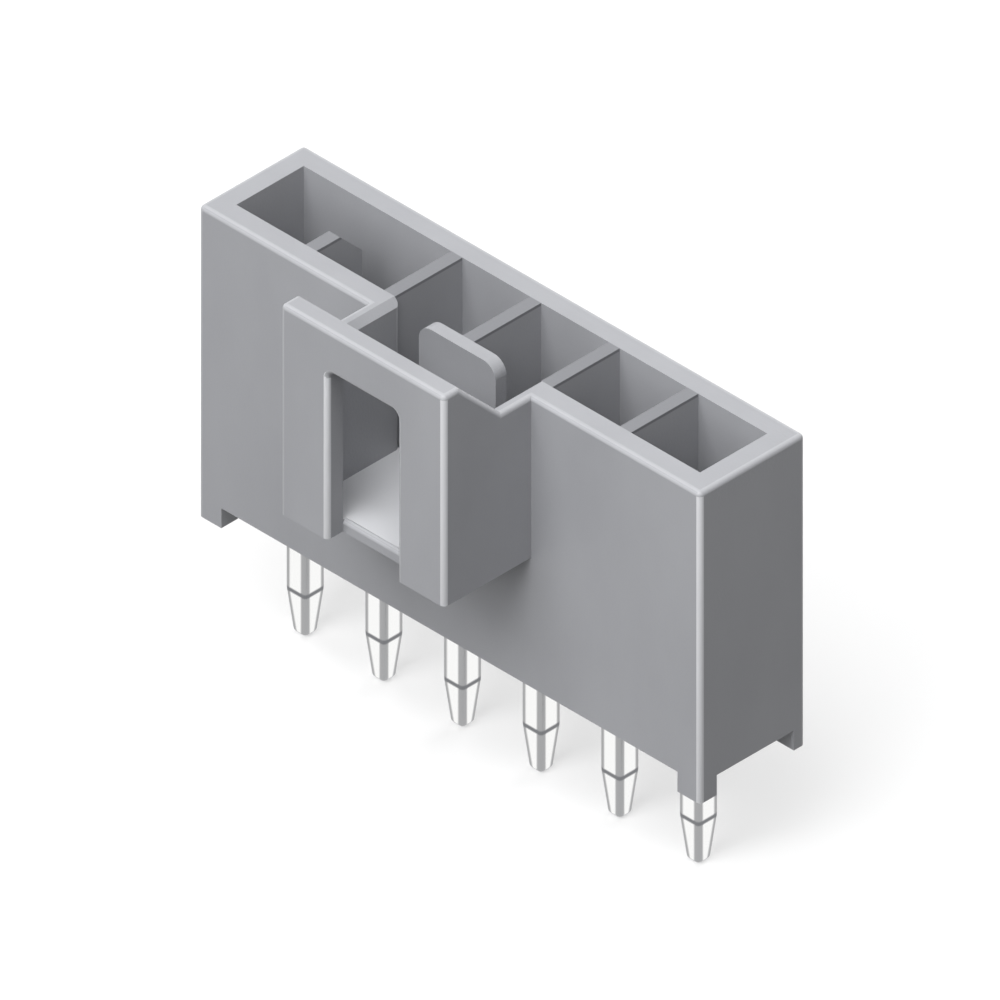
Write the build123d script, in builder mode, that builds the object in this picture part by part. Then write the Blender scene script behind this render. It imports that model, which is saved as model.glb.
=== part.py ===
from build123d import *

import os

# Vertical shrouded pin header: one row of square contacts in a thin-walled moulding with a
# latch tower on its front wall. Millimetres. The origin is the middle of the row on the board's
# surface, +X runs along the row, -Y is the latch side and +Z stands up from the board.

# Contact row
circuits = 6
pitch = 2.50
end_margin = 1.72

# Shroud
shroud_depth = 3.34
rim_height = 8.55
stand_off = 0.55
base_thickness = 2.20
wall = 0.60
rib = 0.35
edge_radius = 0.12

# Corner feet
foot_length = 0.72
front_foot_depth = 0.53
rear_foot_depth = 0.36

# Half rib that keys the plug
key_rib_length = 1.45
key_rib_chamfer = 0.70

# Latch tower
tower_width = 5.20
tower_reach = 2.77
tower_rise = 1.35
tower_bottom = 4.12
tower_floor = 0.33
tower_side_wall = 0.43
latch_plate = 0.50
lead_chamfer = 0.18
window_width = 2.22
window_head = 1.15
window_corner = 0.20

# Tab on the middle rib
tab_width = 2.44
tab_thickness = 0.35
tab_corner = 0.40

# Contacts
pin_side = 0.64
pin_round = 0.08
contact_recess = 1.60
lead_in_length = 0.60
lead_in_side = 0.30
tail_length = 3.18
tail_taper = 1.24
tail_tip_side = 0.40

# Places along the row
pin_x = [(n - (circuits - 1) / 2) * pitch for n in range(circuits)]
rib_x = [(n - circuits / 2) * pitch for n in range(1, circuits)]
key_x = rib_x[0]
full_rib_x = rib_x[1:]
latch_x = rib_x[circuits // 2 - 1]

# Faces of the shroud
shroud_length = (circuits - 1) * pitch + 2 * end_margin
pocket_floor = stand_off + base_thickness
pocket_height = rim_height - pocket_floor
inner_depth = shroud_depth - 2 * wall
wall_front = -shroud_depth / 2
wall_inside = wall_front + wall

# Faces of the tower
plate_front = wall_front - tower_reach
plate_back = plate_front + latch_plate
ramp_foot = plate_back + tower_rise
tower_top = rim_height + tower_rise
tower_floor_top = tower_bottom + tower_floor
tower_inner_width = tower_width - 2 * tower_side_wall
jamb_span = tower_inner_width + 2 * edge_radius
window_top = tower_top - window_head

ramp_normal = Axis((0, 0, 0), (0, 1, 1))

# Flare for the latch arm: 45 degree slopes that open out along the tops of the tower's side walls
with BuildPart() as latch_flare:
    with BuildLine(Plane.YZ.offset(latch_x)) as side_top:
        Polyline(
            (wall_inside, rim_height),
            (ramp_foot, rim_height),
            (plate_back - lead_chamfer, tower_top + lead_chamfer),
        )
    with BuildSketch(Plane.XZ.offset(-wall_inside)):
        with Locations((latch_x, rim_height)):
            Trapezoid(
                tower_inner_width + 2 * lead_chamfer,
                lead_chamfer,
                45,
                rotation=180,
                align=(Align.CENTER, Align.MIN),
            )
    sweep(path=side_top.wire(), transition=Transition.RIGHT)
    split(bisect_by=Plane.XZ.offset(-plate_back), keep=Keep.BOTTOM)

# Housing, moulded in one piece
with BuildPart() as housing:
    # Solid block that becomes the shroud
    with BuildSketch(Plane.XY.offset(stand_off)):
        RectangleRounded(shroud_length, shroud_depth, edge_radius)
    extrude(amount=rim_height - stand_off)

    # Four corner feet, left by a cross-shaped relief under the base
    with BuildSketch():
        RectangleRounded(shroud_length, shroud_depth, edge_radius)
        Rectangle(shroud_length - 2 * foot_length, shroud_depth, mode=Mode.SUBTRACT)
        with Locations((0, wall_front + front_foot_depth)):
            Rectangle(
                shroud_length,
                shroud_depth - front_foot_depth - rear_foot_depth,
                align=(Align.CENTER, Align.MIN),
                mode=Mode.SUBTRACT,
            )
    extrude(amount=stand_off)

    # Tower block: its sides run level with the rim, then climb at 45 degrees to the plate's top
    with BuildSketch(Plane.YZ.offset(latch_x - tower_width / 2)):
        with BuildLine():
            Polyline(
                (wall_inside, tower_bottom),
                (plate_front, tower_bottom),
                (plate_front, tower_top),
                (plate_back, tower_top),
                (ramp_foot, rim_height),
                (wall_inside, rim_height),
                close=True,
            )
        make_face()
    extrude(amount=tower_width)

    # Soft outer edges of the rim, the ramps and the plate
    level_faces = housing.faces().filter_by(Plane.XY).group_by(Axis.Z)
    plate_top = level_faces[-1][0]
    rim = level_faces[-2].sort_by(SortBy.AREA)[-1]
    ramp = housing.faces().filter_by(ramp_normal)[0]
    soft_edges = rim.edges().sort_by(Axis.Y)[1:]
    soft_edges += plate_top.edges().sort_by(Axis.Y)[:-1]
    soft_edges += ramp.edges().filter_by(Axis.X, reverse=True)
    soft_edges += housing.edges().filter_by(Axis.Z).group_by(Axis.Y)[0]
    fillet(soft_edges, radius=edge_radius)

    # Pocket cavity, divided by the full ribs
    with BuildSketch(Plane.XY.offset(pocket_floor)):
        Rectangle(shroud_length - 2 * wall, inner_depth)
        with Locations(*[(x, 0) for x in full_rib_x]):
            Rectangle(rib, inner_depth, mode=Mode.SUBTRACT)
    extrude(amount=pocket_height, mode=Mode.SUBTRACT)

    # Half rib on the front wall, its free top corner cut at 45 degrees
    with BuildSketch(Plane.YZ.offset(key_x - rib / 2)):
        with BuildLine():
            Polyline(
                (wall_inside, pocket_floor),
                (wall_inside, rim_height),
                (wall_inside + key_rib_length - key_rib_chamfer, rim_height),
                (wall_inside + key_rib_length, rim_height - key_rib_chamfer),
                (wall_inside + key_rib_length, pocket_floor),
                close=True,
            )
        make_face()
    extrude(amount=rib)

    # Hollow of the tower, which opens through the front wall between softened jambs
    with BuildSketch(Plane.XY.offset(tower_floor_top)):
        with Locations((latch_x, plate_back)):
            Rectangle(tower_inner_width, wall_inside - plate_back, align=(Align.CENTER, Align.MIN))
        with Locations((latch_x, wall_inside)):
            Rectangle(jamb_span, edge_radius, align=(Align.CENTER, Align.MAX))
        with Locations((latch_x, wall_inside - edge_radius)):
            with GridLocations(jamb_span, 0, 2, 1):
                Circle(edge_radius, mode=Mode.SUBTRACT)
    extrude(amount=tower_top - tower_floor_top, mode=Mode.SUBTRACT)

    # Flare between the tops of the side walls
    add(latch_flare.part, mode=Mode.SUBTRACT)

    # Window in the latch plate, open at the bottom
    with BuildSketch(Plane.XZ.offset(-plate_front)) as window:
        with Locations((latch_x, tower_bottom)):
            Rectangle(window_width, window_top - tower_bottom, align=(Align.CENTER, Align.MIN))
        fillet(window.vertices().group_by(Axis.Y)[-1], radius=window_corner)
    extrude(amount=-latch_plate, mode=Mode.SUBTRACT)

    # Soft edges round the window and on the tower floor where it shows there
    plate_face = housing.faces().filter_by(Plane.XZ).sort_by(Axis.Y)[0]
    window_edges = plate_face.edges().filter_by_position(
        Axis.X, latch_x - window_width / 2, latch_x + window_width / 2
    )
    floor_edge = housing.edges().filter_by(Axis.X).sort_by_distance((latch_x, plate_back, tower_floor_top))[0]
    fillet(window_edges + [floor_edge], radius=edge_radius)

    # Tab across the front of the middle rib
    with BuildSketch(Plane.XZ.offset(-wall_inside)) as tab:
        with Locations((latch_x, tower_floor_top)):
            Rectangle(tab_width, rim_height - tower_floor_top, align=(Align.CENTER, Align.MIN))
        fillet(tab.vertices().group_by(Axis.Y)[-1], radius=tab_corner)
    extrude(amount=tab_thickness)

    # Square holes that hold the contacts
    with BuildSketch(Plane.XY.offset(stand_off)):
        with GridLocations(pitch, 0, circuits, 1):
            Rectangle(pin_side, pin_side)
    extrude(amount=base_thickness, mode=Mode.SUBTRACT)

os.makedirs("parts", exist_ok=True)
housing.part.label = "housing"
export_step(housing.part, "parts/housing.step")

# Contacts, one square wire each
contact_top = rim_height - contact_recess
for number, x in enumerate(pin_x, start=1):
    with BuildPart() as pin:
        # Straight length, from the shoulder of the tail to the foot of the lead-in
        with BuildSketch(Plane((x, 0, tail_taper - tail_length))):
            Rectangle(pin_side, pin_side)
        extrude(amount=contact_top - lead_in_length - (tail_taper - tail_length))

        # Lead-in of the contact tip
        with BuildSketch(Plane((x, 0, contact_top - lead_in_length))):
            Rectangle(pin_side, pin_side)
        with BuildSketch(Plane((x, 0, contact_top))):
            Rectangle(lead_in_side, lead_in_side)
        loft()

        # Taper of the solder tail
        with BuildSketch(Plane((x, 0, tail_taper - tail_length))):
            Rectangle(pin_side, pin_side)
        with BuildSketch(Plane((x, 0, -tail_length))):
            Rectangle(tail_tip_side, tail_tip_side)
        loft()

        # Rounded corners and ends, with the tapers meeting the straight length in a crease
        corner_edges = pin.edges().filter_by(Plane.XY, reverse=True)
        end_edges = pin.faces().filter_by(Plane.XY).edges()
        fillet(corner_edges + end_edges, radius=pin_round)
    pin.part.label = f"pin_{number}"
    export_step(pin.part, f"parts/pin_{number}.step")
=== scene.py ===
import math

import bpy
import numpy as np
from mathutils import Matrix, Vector


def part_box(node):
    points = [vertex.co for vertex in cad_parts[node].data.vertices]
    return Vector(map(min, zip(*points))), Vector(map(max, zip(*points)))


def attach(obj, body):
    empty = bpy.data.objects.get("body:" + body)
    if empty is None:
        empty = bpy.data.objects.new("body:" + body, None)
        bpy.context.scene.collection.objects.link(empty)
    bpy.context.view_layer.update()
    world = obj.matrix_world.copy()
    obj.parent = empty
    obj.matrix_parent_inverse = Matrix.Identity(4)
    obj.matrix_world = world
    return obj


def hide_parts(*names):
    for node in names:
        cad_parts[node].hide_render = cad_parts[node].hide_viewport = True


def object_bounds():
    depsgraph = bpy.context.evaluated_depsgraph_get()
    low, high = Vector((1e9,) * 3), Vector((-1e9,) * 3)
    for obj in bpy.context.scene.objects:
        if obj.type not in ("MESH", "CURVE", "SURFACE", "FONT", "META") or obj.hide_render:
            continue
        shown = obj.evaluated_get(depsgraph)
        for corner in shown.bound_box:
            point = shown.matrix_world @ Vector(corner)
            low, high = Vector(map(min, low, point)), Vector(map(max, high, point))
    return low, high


# A vertical pin header: a grey nylon shroud on six tin-plated square contacts, seen in isometric view.
# The frame is in metres, and the dictionaries below are in millimetres unless they say otherwise.
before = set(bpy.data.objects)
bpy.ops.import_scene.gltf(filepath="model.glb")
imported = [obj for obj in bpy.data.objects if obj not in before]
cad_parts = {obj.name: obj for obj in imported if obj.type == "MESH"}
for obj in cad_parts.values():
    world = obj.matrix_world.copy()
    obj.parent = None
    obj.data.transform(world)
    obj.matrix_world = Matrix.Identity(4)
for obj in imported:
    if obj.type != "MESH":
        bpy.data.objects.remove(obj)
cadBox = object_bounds()
mm = 0.001
pinNodes = sorted(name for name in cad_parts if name.startswith("pin_"))
print("frame loaded with", len(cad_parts), "nodes")


def linearColour(hexColour):
    # sRGB hex to the linear values that a shader takes
    channels = [int(hexColour[n:n + 2], 16) / 255 for n in (1, 3, 5)]
    return [c / 12.92 if c <= 0.04045 else ((c + 0.055) / 1.055) ** 2.4 for c in channels] + [1.0]


def addNode(tree, kind, settings=(), links=(), **properties):
    # One shader node: settings are its sockets' values, links its sockets' sources
    node = tree.nodes.new("ShaderNode" + kind)
    for name, value in properties.items():
        setattr(node, name, value)
    for socket, value in dict(settings).items():
        node.inputs[socket].default_value = value
    for socket, source in dict(links).items():
        tree.links.new(source, node.inputs[socket])
    return node


def newMaterial(name):
    material = bpy.data.materials.new(name)
    material.use_nodes = True
    material.node_tree.nodes.clear()
    return material, material.node_tree


# Glass-filled nylon, injection moulded in a spark-eroded cavity: an even grey with a dull sheen, a fine
# pebbled grain on the flats, cloudy patches where the glass fibres flowed, painted highlights on the rounded
# edges, painted light on the tower's floor and painted shade on the rib tops
nylon = {
    "face": "#9B9CA0",
    "cloud": "#919296",
    # colour of the painted highlight on the rounded edges and of the painted light on the tower's floor
    "edge": "#D2D3D6",
    # painted shade colour for the tops of the ribs and the tab inside the cavity
    "ribTopShadePaint": "#77787C",
    "roughness": 0.52,
    "edgeRoughness": 0.36,
    "ior": 1.53,
    "grain": 0.075,  # pitch of the spark-eroded pebbles, drawn about twice as coarse as they are to show
    "grainHeight": 0.004,
    "cloudSize": 2.6,
    "cloudStretch": 0.45,  # the patches are drawn out upwards, the way the melt ran
    "cloudFrom": 0.35,  # values of the noise between which a patch fades in
    "cloudTo": 0.7,
    "cloudShare": 0.6,  # and how far it then goes to the cloud's colour
    "cloudNoise": {"Detail": 3, "Roughness": 0.55},
    "grainNoise": {"Detail": 2, "Roughness": 0.6},
    "cavity": (7.37, 1.07, 8.47),  # its half length and half depth, and a height just under its rib tops
}


def insideCavity(tree, place):
    # 1 on the tops of the ribs and the tab, down to just under their edges, where painted shade darkens them,
    # 0 everywhere else
    axes = addNode(tree, "SeparateXYZ", links={"Vector": place})
    tests = []
    for axis, limit in zip("XY", nylon["cavity"]):
        away = addNode(tree, "Math", links={0: axes.outputs[axis]}, operation="ABSOLUTE")
        tests.append(addNode(tree, "Math", {1: limit * mm}, {0: away.outputs[0]}, operation="LESS_THAN"))
    overRibs = {1: nylon["cavity"][2] * mm}
    tests.append(addNode(tree, "Math", overRibs, {0: axes.outputs["Z"]}, operation="GREATER_THAN"))
    both = addNode(tree, "Math", links={0: tests[0].outputs[0], 1: tests[1].outputs[0]}, operation="MULTIPLY")
    return addNode(tree, "Math", links={0: both.outputs[0], 1: tests[2].outputs[0]}, operation="MULTIPLY")


def mouldedNylon():
    material, tree = newMaterial("moulded_nylon_grey")
    place = addNode(tree, "TexCoord").outputs["Object"]
    drawnOut = addNode(tree, "Mapping", {"Scale": (1, 1, nylon["cloudStretch"])}, {"Vector": place})
    clouds = addNode(
        tree, "TexNoise", {"Scale": 1 / (nylon["cloudSize"] * mm), **nylon["cloudNoise"]},
        {"Vector": drawnOut.outputs["Vector"]},
    )
    patches = addNode(
        tree, "MapRange",
        {"From Min": nylon["cloudFrom"], "From Max": nylon["cloudTo"], "To Max": nylon["cloudShare"]},
        {"Value": clouds.outputs["Fac"]},
    )
    flats = addNode(
        tree, "Mix", {6: linearColour(nylon["face"]), 7: linearColour(nylon["cloud"])},
        {0: patches.outputs["Result"]}, data_type="RGBA",
    )
    # Painted highlight on the rounded edges and painted light on the tower's floor, mixed in by this mask,
    # which also lowers the roughness there and turns the grain off
    lightPaint = addNode(tree, "Attribute", attribute_name="paintedLight")
    paler = addNode(
        tree, "Mix", {7: linearColour(nylon["edge"])}, {0: lightPaint.outputs["Fac"], 6: flats.outputs[2]},
        data_type="RGBA",
    )
    # Painted shade on the tops of the ribs and the tab inside the cavity, darker than the rim
    colour = addNode(
        tree, "Mix", {7: linearColour(nylon["ribTopShadePaint"])},
        {0: insideCavity(tree, place).outputs[0], 6: paler.outputs[2]}, data_type="RGBA",
    )
    gloss = addNode(
        tree, "MapRange", {"To Min": nylon["roughness"], "To Max": nylon["edgeRoughness"]},
        {"Value": lightPaint.outputs["Fac"]},
    )
    pebbles = addNode(
        tree, "TexNoise", {"Scale": 1 / (nylon["grain"] * mm), **nylon["grainNoise"]}, {"Vector": place}
    )
    flatness = addNode(tree, "Math", {0: 1.0}, {1: lightPaint.outputs["Fac"]}, operation="SUBTRACT")
    grain = addNode(
        tree, "Bump", {"Distance": nylon["grainHeight"] * mm},
        {"Height": pebbles.outputs["Fac"], "Strength": flatness.outputs["Value"]},
    )
    finish = {
        "Base Color": colour.outputs[2],
        "Roughness": gloss.outputs["Result"],
        "Normal": grain.outputs["Normal"],
    }
    shader = addNode(tree, "BsdfPrincipled", {"IOR": nylon["ior"]}, finish)
    addNode(tree, "OutputMaterial", links={"Surface": shader.outputs["BSDF"]})
    return material


# Brass wire, tin plated: a pale silver mirror, softened by the drawing lines along the wire, with a painted
# dark reflection on its rounded corners, painted shade along the crease at its shoulder, and duller at its
# sheared end
tin = {
    "face": "#FAFAF9",
    # colour of the painted dark reflection on the corners and the painted shade at the shoulder crease, and
    # of the sheared end
    "corner": "#7E7F82",
    "roughness": 0.2,
    "cornerRoughness": 0.38,
    "lineSpacing": 0.02,  # across the wire, between drawing lines
    "lineLength": 1.5,
    "lineHeight": 0.0004,
    "lineStrength": 0.5,
    "lineDetail": 2,
}


def tinPlatedWire():
    material, tree = newMaterial("tin_plated_brass")
    place = addNode(tree, "TexCoord").outputs["Object"]
    across, along = 1 / (tin["lineSpacing"] * mm), 1 / (tin["lineLength"] * mm)
    stretched = addNode(tree, "Mapping", {"Scale": (across, across, along)}, {"Vector": place})
    lines = addNode(
        tree, "TexNoise", {"Scale": 1.0, "Detail": tin["lineDetail"]}, {"Vector": stretched.outputs["Vector"]}
    )
    # Painted dark reflection on the rounded corners, painted shade along the shoulder crease, and the duller
    # sheared end; the same mask raises the roughness
    corner = addNode(tree, "Attribute", attribute_name="reflectionShadeAndDull")
    colour = addNode(
        tree, "Mix", {6: linearColour(tin["face"]), 7: linearColour(tin["corner"])},
        {0: corner.outputs["Fac"]}, data_type="RGBA",
    )
    gloss = addNode(
        tree, "MapRange", {"To Min": tin["roughness"], "To Max": tin["cornerRoughness"]},
        {"Value": corner.outputs["Fac"]},
    )
    drawn = addNode(
        tree, "Bump", {"Strength": tin["lineStrength"], "Distance": tin["lineHeight"] * mm},
        {"Height": lines.outputs["Fac"]},
    )
    finish = {
        "Base Color": colour.outputs[2],
        "Roughness": gloss.outputs["Result"],
        "Normal": drawn.outputs["Normal"],
    }
    shader = addNode(tree, "BsdfPrincipled", {"Metallic": 1.0}, finish)
    addNode(tree, "OutputMaterial", links={"Surface": shader.outputs["BSDF"]})
    return material


def newPiece(name, points, faces, material):
    # A finished piece: its place is in its mesh, and it rides on the one body
    mesh = bpy.data.meshes.new(name)
    mesh.from_pydata(points.tolist(), [], faces)
    mesh.materials.append(material)
    piece = bpy.data.objects.new(name, mesh)
    bpy.context.scene.collection.objects.link(piece)
    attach(piece, "root")
    return piece


def writeAttribute(mesh, name, values, on="FACE"):
    # One number for each face or point, read by the material
    mesh.attributes.new(name, "FLOAT", on).data.foreach_set("value", values.astype(np.float32))


def evenShading(piece, keepSharp):
    # At weight 100 large faces win where normals are averaged, so flats look flat up to their rounded edges
    evened = piece.modifiers.new("EvenShading", "WEIGHTED_NORMAL")
    evened.weight = 100
    evened.keep_sharp = keepSharp


# Shroud: the CAD solid's own shape, with every crisp edge that stands out broken as moulding breaks it
shroud = {
    "edgeBreak": 0.045,
    "breakSteps": 3,
    "crispAngle": 32,  # degrees between faces, past which an edge counts as crisp
    "mergeAngle": 0.3,  # degrees within which triangles are joined into one flat
    "flatAngle": 2.0,  # degrees within which a face lies in a flat or a ramp
    "narrow": 0.024,  # faces narrower than this, and turned off the flats, belong to a rounded edge
    "curved": 0.1,  # and narrower than this to a rounded edge or to the arcs of the tab and the window
    "cornerHighlightPaint": 1.0,  # painted highlight strength on the upright edges at the latch side's right
    "rimHighlightPaint": 0.2,  # and on all the other rounded edges
    "floorLightPaint": 0.9,  # painted light strength on the tower's floor, which lies in shade inside the tower
    "latchFloor": 4.45,  # its height
    "floorSlack": 0.02,  # how far from that height, and how much turned from level, its faces may be
    "floorLevel": 0.99,
    "weld": 0.0001,  # points nearer than this are one
}


def weldedMesh(node):
    # The node's triangles as arrays, with the corners that coincide made one point
    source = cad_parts[node].data
    corners = np.empty(len(source.vertices) * 3)
    source.vertices.foreach_get("co", corners)
    triangles = np.empty(len(source.polygons) * 3, dtype=np.int64)
    source.loops.foreach_get("vertex_index", triangles)
    steps = np.round(corners.reshape(-1, 3) / (shroud["weld"] * mm)).astype(np.int64)
    distinct, order = np.unique(steps, axis=0, return_inverse=True)
    triangles = order.reshape(-1)[triangles].reshape(-1, 3)
    kept = (triangles != np.roll(triangles, 1, axis=1)).all(axis=1)
    return distinct * shroud["weld"] * mm, triangles[kept].tolist()


def faceNormals(mesh):
    normals = np.empty(len(mesh.polygons) * 3)
    mesh.polygons.foreach_get("normal", normals)
    return normals.reshape(-1, 3)


def faceCentres(mesh):
    centres = np.empty(len(mesh.polygons) * 3)
    mesh.polygons.foreach_get("center", centres)
    return centres.reshape(-1, 3)


def faceWidths(mesh):
    # Area over longest side, in mm: small for the strips that make up a rounded edge
    count = len(mesh.polygons)
    areas, starts = np.empty(count), np.empty(count, dtype=np.int64)
    mesh.polygons.foreach_get("area", areas)
    mesh.polygons.foreach_get("loop_start", starts)
    points = np.empty(len(mesh.vertices) * 3)
    mesh.vertices.foreach_get("co", points)
    ends = np.empty(len(mesh.edges) * 2, dtype=np.int64)
    mesh.edges.foreach_get("vertices", ends)
    sides = points.reshape(-1, 3)[ends.reshape(-1, 2)]
    lengths = np.linalg.norm(sides[:, 0] - sides[:, 1], axis=1)
    around = np.empty(len(mesh.loops), dtype=np.int64)
    mesh.loops.foreach_get("edge_index", around)
    return areas / np.maximum.reduceat(lengths[around], starts) / mm


def applyModifiers(piece):
    settled = piece.evaluated_get(bpy.context.evaluated_depsgraph_get())
    mesh = bpy.data.meshes.new_from_object(settled)
    piece.modifiers.clear()
    piece.data = mesh
    return mesh


def weighCrispEdges(mesh):
    # Bevel weight 1 on the edges that stand out. Along an edge of one face, the normal crossed with the edge
    # points into that face, and the edge stands out where the other face's normal points away from there.
    count = len(mesh.loops)
    starts, totals = (np.empty(len(mesh.polygons), dtype=np.int64) for _ in range(2))
    mesh.polygons.foreach_get("loop_start", starts)
    mesh.polygons.foreach_get("loop_total", totals)
    points, edges = np.empty(count, dtype=np.int64), np.empty(count, dtype=np.int64)
    mesh.loops.foreach_get("vertex_index", points)
    mesh.loops.foreach_get("edge_index", edges)
    places = np.empty(len(mesh.vertices) * 3)
    mesh.vertices.foreach_get("co", places)
    places = places.reshape(-1, 3)
    owners = np.repeat(np.arange(len(totals)), totals)
    following = np.arange(count) + 1
    following[starts + totals - 1] = starts
    along = places[points[following]] - places[points]
    order = np.argsort(edges, kind="stable")
    joined = np.bincount(edges, minlength=len(mesh.edges)) == 2  # edges between two faces, here all of them
    pairs = order[joined[edges[order]]].reshape(-1, 2)
    normals = faceNormals(mesh)
    first, second = normals[owners[pairs[:, 0]]], normals[owners[pairs[:, 1]]]
    inwards = np.cross(first, along[pairs[:, 0]])
    standsOut, crisp = np.zeros_like(joined), np.zeros_like(joined)
    standsOut[joined] = (inwards * second).sum(axis=1) < 0
    crisp[joined] = (first * second).sum(axis=1) < math.cos(math.radians(shroud["crispAngle"]))
    weights = mesh.attributes.new("bevel_weight_edge", "FLOAT", "EDGE")
    weights.data.foreach_set("value", (standsOut & crisp).astype(np.float32))
    # The inner corners stay sharp, as a mould's crisp core leaves them
    inner = mesh.attributes.get("sharp_edge") or mesh.attributes.new("sharp_edge", "BOOLEAN", "EDGE")
    inner.data.foreach_set("value", crisp & ~standsOut)


def flattenShading(mesh, curved):
    # The corners of every face that isn't curved get that face's own normal
    totals = np.empty(len(mesh.polygons), dtype=np.int64)
    mesh.polygons.foreach_get("loop_total", totals)
    owners = np.repeat(np.arange(len(totals)), totals)
    shading = np.empty(len(mesh.loops) * 3)
    mesh.corner_normals.foreach_get("vector", shading)
    shading = np.where(curved[owners][:, None], shading.reshape(-1, 3), faceNormals(mesh)[owners])
    mesh.normals_split_custom_set(shading.tolist())


def housingPiece(material):
    points, triangles = weldedMesh("housing")
    piece = newPiece("shroud", points, triangles, material)
    flatten = piece.modifiers.new("Flats", "DECIMATE")
    flatten.decimate_type = "DISSOLVE"
    flatten.angle_limit = math.radians(shroud["mergeAngle"])
    flats = applyModifiers(piece)
    flats.shade_smooth()
    weighCrispEdges(flats)
    rounding = piece.modifiers.new("EdgeBreak", "BEVEL")
    rounding.width = shroud["edgeBreak"] * mm
    rounding.segments = shroud["breakSteps"]
    rounding.limit_method = "WEIGHT"
    rounding.use_clamp_overlap = True
    merged = piece.modifiers.new("NoSlivers", "WELD")
    merged.merge_threshold = shroud["weld"] * mm
    evenShading(piece, True)
    # The modifiers are applied, so that the rounded edges that get painted highlights can be told from the
    # flats on the final faces
    mesh = applyModifiers(piece)
    # A face is flat where its normal lies along X, Y, Z or the ramps' 45 degrees between Y and Z
    facing = faceNormals(mesh)
    normals = np.abs(facing)
    ramp = (normals[:, 1] + normals[:, 2]) / math.sqrt(2)
    nearest = np.maximum(normals.max(axis=1), ramp)
    flat = math.radians(shroud["flatAngle"])
    turned = nearest < math.cos(flat)
    upright = (normals[:, 2] < math.sin(flat)) & (facing[:, 0] > 0) & (facing[:, 1] < 0)
    # Painted highlight on the narrow turned faces of the rounded edges, strongest on the upright edges at the
    # latch side's right
    lightPaint = np.where(upright, shroud["cornerHighlightPaint"], shroud["rimHighlightPaint"])
    widths = faceWidths(mesh)
    lightPaint = lightPaint * (turned & (widths < shroud["narrow"]))
    # Painted light on the tower's floor, lifting the shade inside the tower
    overFloor = np.abs(faceCentres(mesh)[:, 2] / mm - shroud["latchFloor"])
    towerFloor = (facing[:, 2] > shroud["floorLevel"]) & (overFloor < shroud["floorSlack"])
    writeAttribute(mesh, "paintedLight", np.where(towerFloor, shroud["floorLightPaint"], lightPaint))
    flattenShading(mesh, turned & (widths < shroud["curved"]))
    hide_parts("housing")
    return piece


# Contacts: a rounded square carried up the wire, from the tapered solder tail to the lead-in
contact = {
    "cornerRadius": 0.085,
    "radiusMost": 0.92,  # as a share of half the side, where the wire gets thin
    "cornerSteps": 6,
    "cornerBand": 0.03,  # width of the painted dark band beside each corner
    "cornerFade": 0.08,  # and the width from the corner at which the painted darkness has faded out
    "fadeMost": 0.8,  # of half the flat
    # how far the corners and the sheared end go to that dark colour, the corners' share being painted
    # reflection
    "cornerDarkPaint": 0.75,
    "tailRound": 0.13,
    "sheared": 0.6,  # share of the rounded end that the shearing left dull
    "leadRound": 0.08,
    "endSteps": 6,
    "tailTaper": 1.24,
    "tailTip": 0.40,
    "leadIn": 0.60,
    "leadTip": 0.30,
    "crease": 0.08,  # half the length over which a taper turns into the straight wire
    "creaseLine": 0.035,  # half the width of the line there with painted crease shade, which is the darkest
    "leadEase": 0.3,  # how far the lead-in's crease is cut off, of its slope
}


def roundedSquare(halfSide, radius):
    # Corner centres at plus and minus (halfSide - radius), each with a quarter circle of that radius, and two
    # more points on the flat before and after it, moved along the circle's tangent
    steps = contact["cornerSteps"]
    quarter = np.concatenate([[0, 0], np.linspace(0, math.pi / 2, steps + 1), [math.pi / 2, math.pi / 2]])
    angles = (quarter[None, :] + np.arange(4)[:, None] * math.pi / 2).ravel()
    signs = np.repeat(np.array([[1, 1], [-1, 1], [-1, -1], [1, -1]]), len(quarter), axis=0)
    circle = np.stack([np.cos(angles), np.sin(angles)], axis=1)
    tangent = np.stack([-np.sin(angles), np.cos(angles)], axis=1)
    band = contact["cornerBand"] / contact["cornerFade"]
    aside = np.tile(np.concatenate([[-1, -band], np.zeros(steps + 1), [band, 1]]), 4)
    fade = np.minimum(contact["cornerFade"], contact["fadeMost"] * (halfSide - radius))
    square = signs * (halfSide - radius)[:, None, None] + circle * radius[:, None, None]
    return square + (tangent * aside[:, None]) * fade[:, None, None], np.abs(aside) < 1


def wireStations(low, high, halfSide):
    # Heights, half sides and corner radii up the wire: rounded end, taper, straight length, lead-in, rounded
    # end. A taper's half side is its slope times the height, and the ends shrink by a quarter circle.
    turn = np.linspace(0, math.pi / 2, contact["endSteps"] + 1)
    crease, line = contact["crease"], contact["creaseLine"]
    tail, tailHalf, tailRound = contact["tailTaper"], contact["tailTip"] / 2, contact["tailRound"]
    lead, leadHalf, leadRound = contact["leadIn"], contact["leadTip"] / 2, contact["leadRound"]
    shrink, rise = 1 - np.sin(turn), 1 - np.cos(turn)
    heights = np.concatenate([
        low + tailRound * rise, low + tail + np.array([-crease, -line, line, crease]),
        high - lead + np.array([-crease, 0, crease]), (high - leadRound * rise)[::-1],
    ])
    slopeTail = (halfSide - tailHalf) / tail
    slopeLead = (halfSide - leadHalf) / lead
    halves = np.concatenate([
        tailHalf + slopeTail * tailRound * rise - tailRound * shrink,
        halfSide - slopeTail * np.array([crease, line, 0, 0]),
        halfSide - slopeLead * np.array([0, crease * contact["leadEase"], crease]),
        (leadHalf + slopeLead * leadRound * rise - leadRound * shrink)[::-1],
    ])
    radii = np.minimum(contact["cornerRadius"], halves * contact["radiusMost"])
    # Darkening of each station: painted shade along the crease at the shoulder, and the sheared end of the
    # tail
    darkening = 1.0 * (np.abs(heights - low - tail) < (line + crease) / 2)
    darkening[heights < low + tailRound * contact["sheared"]] = contact["cornerDarkPaint"]
    return heights, halves, radii, darkening


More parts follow.
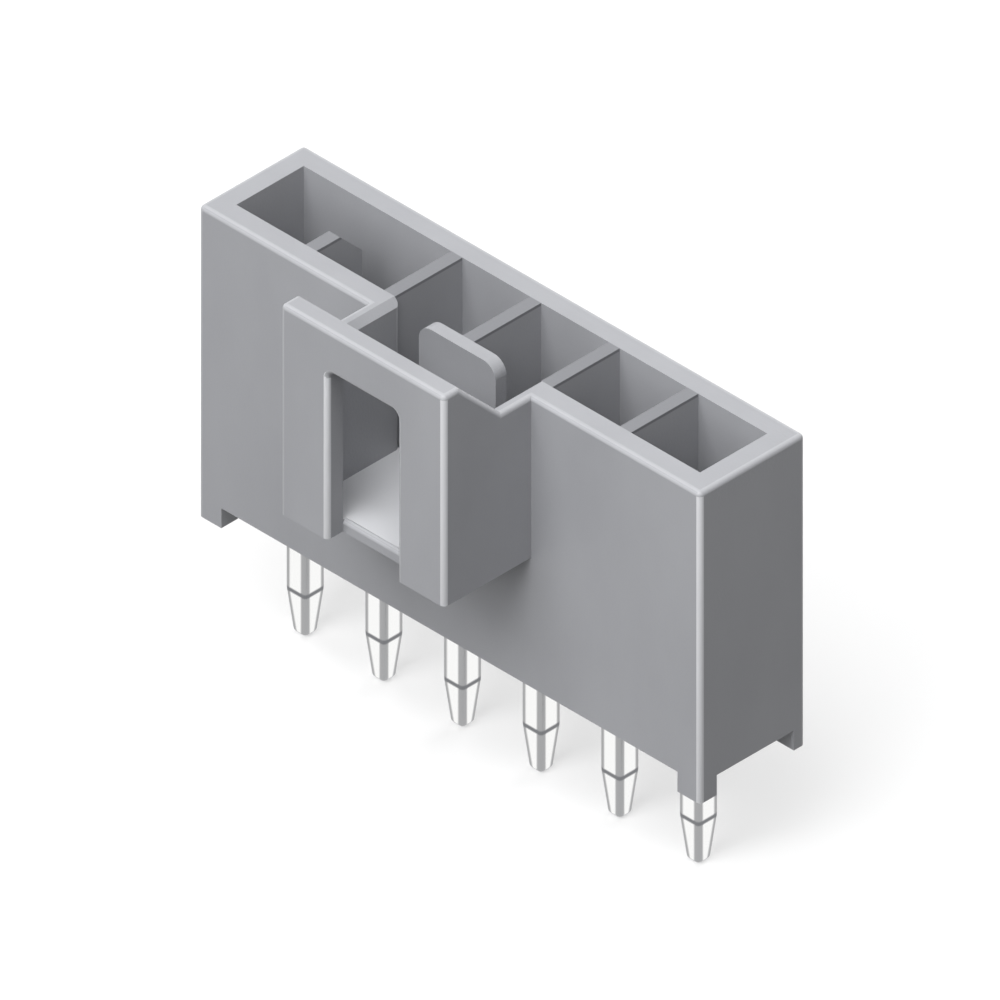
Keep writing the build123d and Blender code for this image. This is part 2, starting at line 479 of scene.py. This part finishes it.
def contactPiece(node, material):
    # The rounded square of each station, at that station's height and round the middle of the wire
    low, high = (np.array(corner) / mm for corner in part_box(node))
    middle = (low + high) / 2
    heights, halves, radii, stationDarkening = wireStations(low[2], high[2], (high[0] - low[0]) / 2)
    around, onCorner = roundedSquare(halves, radii)
    rows, columns = around.shape[:2]
    levels = np.broadcast_to(heights[:, None, None], (rows, columns, 1))
    grid = np.concatenate([around + middle[:2], levels], axis=2)
    ids = np.arange(rows * columns).reshape(rows, columns)
    right = np.roll(ids, -1, axis=1)
    sides = np.stack([ids[:-1], right[:-1], right[1:], ids[1:]], axis=2).reshape(-1, 4).tolist()
    faces = sides + [ids[0, ::-1].tolist(), ids[-1].tolist()]
    piece = newPiece("contact_" + node.split("_")[1], grid.reshape(-1, 3) * mm, faces, material)
    # Painted dark reflection on the corners, painted crease shade at the shoulder, and the sheared end,
    # whichever is darkest
    darkening = np.maximum(stationDarkening[:, None], onCorner[None, :] * contact["cornerDarkPaint"])
    writeAttribute(piece.data, "reflectionShadeAndDull", darkening.ravel(), "POINT")
    piece.data.shade_smooth()
    evenShading(piece, False)
    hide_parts(node)
    return piece


nylonMaterial = mouldedNylon()
tinMaterial = tinPlatedWire()
housingPiece(nylonMaterial)
print("shroud made")
for pinNode in pinNodes:
    contactPiece(pinNode, tinMaterial)
print("contacts made")

# Studio: a pale floor under the solder tails, five soft lamps and a dim sky. Two lamps light the latch side,
# a low one that reaches under the tower and a high one for the rim, the fill lights the row's right end and
# the insides of the tower and the pockets, and the last two light the sides that the photograph doesn't show.
studio = {
    "floorSide": 3000,
    "floorSeen": "#F4F4F4",
    "floorGlow": 0.5,  # share of plain white that the camera sees in the floor, which keeps its shadows pale
    "floorBounce": "#505050",
    "skyLight": 0.14,
    # name, degrees from the latch side towards +X, degrees up, side, watts
    "lamps": [
        ("front", 4, 28, 180, 0.28), ("top", 4, 60, 180, 0.53), ("fill", 60, 58, 130, 0.19),
        ("back", 186, 28, 160, 0.30), ("left", 270, 25, 140, 0.17),
    ],
    "lampDistance": 250,
}


def paleFloor():
    # Seen by the camera it is pale and keeps the shadow, in reflections it is plain white,
    # and for the light that it throws back it is a mid grey
    material, tree = newMaterial("pale_floor")
    rays = addNode(tree, "LightPath")
    lit = addNode(tree, "BsdfDiffuse", {"Color": linearColour(studio["floorSeen"])})
    bounce = addNode(tree, "BsdfDiffuse", {"Color": linearColour(studio["floorBounce"])})
    mirrored = addNode(tree, "Emission", {"Color": (1, 1, 1, 1), "Strength": 1.0})
    halves = {1: lit.outputs[0], 2: mirrored.outputs[0]}
    seen = addNode(tree, "MixShader", {0: studio["floorGlow"]}, halves)
    direct = addNode(
        tree, "MixShader", links={0: rays.outputs["Is Camera Ray"], 1: bounce.outputs[0], 2: seen.outputs[0]}
    )
    whole = addNode(
        tree, "MixShader",
        links={0: rays.outputs["Is Glossy Ray"], 1: direct.outputs[0], 2: mirrored.outputs[0]},
    )
    addNode(tree, "OutputMaterial", links={"Surface": whole.outputs[0]})
    half = studio["floorSide"] * mm / 2
    level = cadBox[0].z
    corners = [(-half, -half, level), (half, -half, level), (half, half, level), (-half, half, level)]
    mesh = bpy.data.meshes.new("floor")
    mesh.from_pydata(corners, [], [(0, 1, 2, 3)])
    mesh.materials.append(material)
    floor = bpy.data.objects.new("floor", mesh)
    bpy.context.scene.collection.objects.link(floor)


def softSky():
    # An even sky: dim as light, plain white where the camera or a reflection sees it
    world = bpy.data.worlds.new("studio")
    bpy.context.scene.world = world
    world.use_nodes = True
    tree = world.node_tree
    tree.nodes.clear()
    rays = addNode(tree, "LightPath")
    either = {0: rays.outputs["Is Camera Ray"], 1: rays.outputs["Is Glossy Ray"]}
    white = addNode(tree, "Math", links=either, operation="MAXIMUM")
    strength = addNode(tree, "MapRange", {"To Min": studio["skyLight"]}, {"Value": white.outputs[0]})
    sky = addNode(tree, "Background", {"Color": (1, 1, 1, 1)}, {"Strength": strength.outputs["Result"]})
    addNode(tree, "OutputWorld", links={"Surface": sky.outputs[0]})


def towards(azimuth, elevation):
    # Unit vector, azimuth in degrees from the latch side towards +X
    turn, lift = math.radians(azimuth), math.radians(elevation)
    return Vector((math.sin(turn) * math.cos(lift), -math.cos(turn) * math.cos(lift), math.sin(lift)))


def softLamp(name, azimuth, elevation, side, power):
    light = bpy.data.lights.new(name, "AREA")
    light.shape = "SQUARE"
    light.size = side * mm
    light.energy = power
    direction = towards(azimuth, elevation)
    lamp = bpy.data.objects.new(name, light)
    lamp.location = direction * studio["lampDistance"] * mm
    lamp.rotation_euler = (-direction).to_track_quat("-Z", "Y").to_euler()
    bpy.context.scene.collection.objects.link(lamp)


# Isometric camera: the photograph is an isometric drawing, so the view has no perspective
view = {
    "azimuth": 45,  # degrees, from the latch side towards +X
    "elevation": 35.264,
    "aim": (-1.22, 1.16, 2.38),  # point of the frame at the middle of the picture
    "distance": 120,
    "width": 22.48,
    "clip": (1, 4000),
}


def isometricCamera():
    data = bpy.data.cameras.new("isometric")
    data.type = "ORTHO"
    data.ortho_scale = view["width"] * mm
    data.clip_start, data.clip_end = (limit * mm for limit in view["clip"])
    back = towards(view["azimuth"], view["elevation"])
    camera = bpy.data.objects.new("isometric", data)
    camera.location = (Vector(view["aim"]) + back * view["distance"]) * mm
    camera.rotation_euler = (-back).to_track_quat("-Z", "Y").to_euler()
    bpy.context.scene.collection.objects.link(camera)
    bpy.context.scene.camera = camera


paleFloor()
softSky()
for lampFacts in studio["lamps"]:
    softLamp(*lampFacts)
isometricCamera()
bpy.context.scene.view_settings.view_transform = "Standard"
print("studio set")
